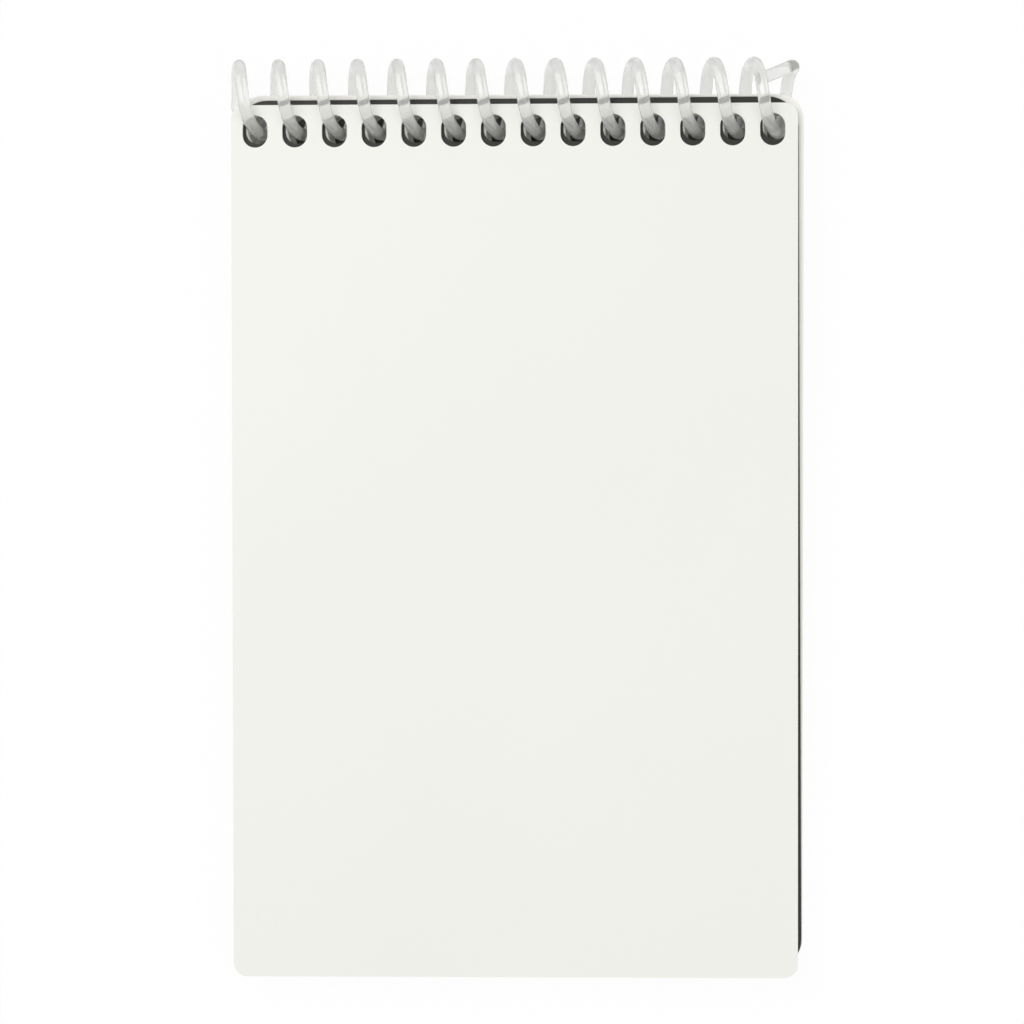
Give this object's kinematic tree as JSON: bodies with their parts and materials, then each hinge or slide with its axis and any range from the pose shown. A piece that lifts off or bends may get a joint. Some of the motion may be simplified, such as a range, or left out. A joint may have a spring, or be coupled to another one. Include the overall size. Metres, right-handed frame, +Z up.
{
  "type": "reporter notebook",
  "caption": "Pocket notebook bound along its top edge by a clear plastic coil, with plastic covers and a dark liner sheet.",
  "frame": {"origin": "middle of the closed notebook's box, on the desk that it lies on", "axes": "+X along the coil to the right of someone reading the pad, +Y from the pad towards the coil, +Z up out of the front cover"},
  "size_m": [0.0925, 0.1474, 0.0131],
  "materials": {
    "cover_plastic": "smooth warm white polypropylene",
    "liner": "thin olive black sheet",
    "paper": "uncoated white paper",
    "coil_plastic": "milky translucent plastic wire"
  },
  "bodies": {
    "pages": {"page_block": "paper", "coil": "coil_plastic"},
    "front_cover": {"front_cover": "cover_plastic", "liner_sheet": "liner"},
    "back_cover": {"back_cover": "cover_plastic"}
  },
  "joints": [
    {"name": "front_cover_hinge", "type": "hinge", "parent": "pages", "child": "front_cover", "pos_m": [0, 0.06763, 0.00656], "axis": [-1, 0, 0], "range_deg": [0, 180], "deforming": ["coil"]},
    {"name": "back_cover_hinge", "type": "hinge", "parent": "pages", "child": "back_cover", "pos_m": [0, 0.06763, 0.00656], "axis": [1, 0, 0], "range_deg": [0, 180], "deforming": ["coil"]}
  ]
}
